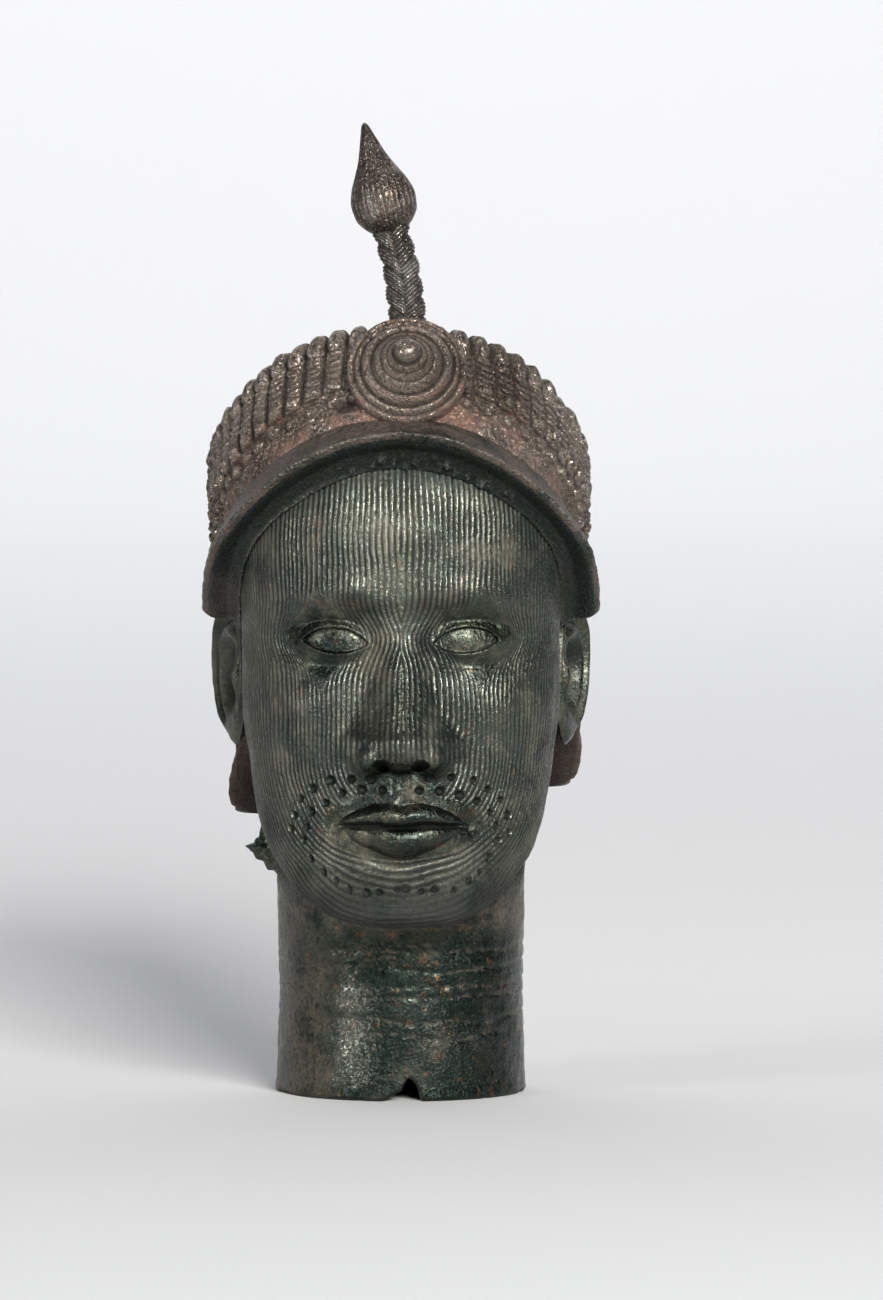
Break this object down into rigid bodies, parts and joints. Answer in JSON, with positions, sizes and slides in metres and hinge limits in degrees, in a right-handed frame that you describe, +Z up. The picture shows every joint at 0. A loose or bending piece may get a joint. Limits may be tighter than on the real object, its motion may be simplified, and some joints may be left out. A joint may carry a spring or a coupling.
{
  "type": "royal head sculpture",
  "caption": "Hollow cast head on a round neck, with a calm face, a crown of upright beaded columns, a plain brim, a ringed rosette and a plaited plume.",
  "frame": {"origin": "centre of the object's box, on the level of the rim that the neck stands on", "axes": "+Z up to the tip of the plume, -Y the way the face looks, +X to the right of someone who looks at the face"},
  "size_m": [0.1438, 0.1723, 0.348],
  "materials": {
    "bronze": "dark green-grey patina with olive and brown patches, and brick-red paint in the grooves of the crown"
  },
  "bodies": {
    "root": {"crowned_head": "bronze"}
  },
  "joints": []
}
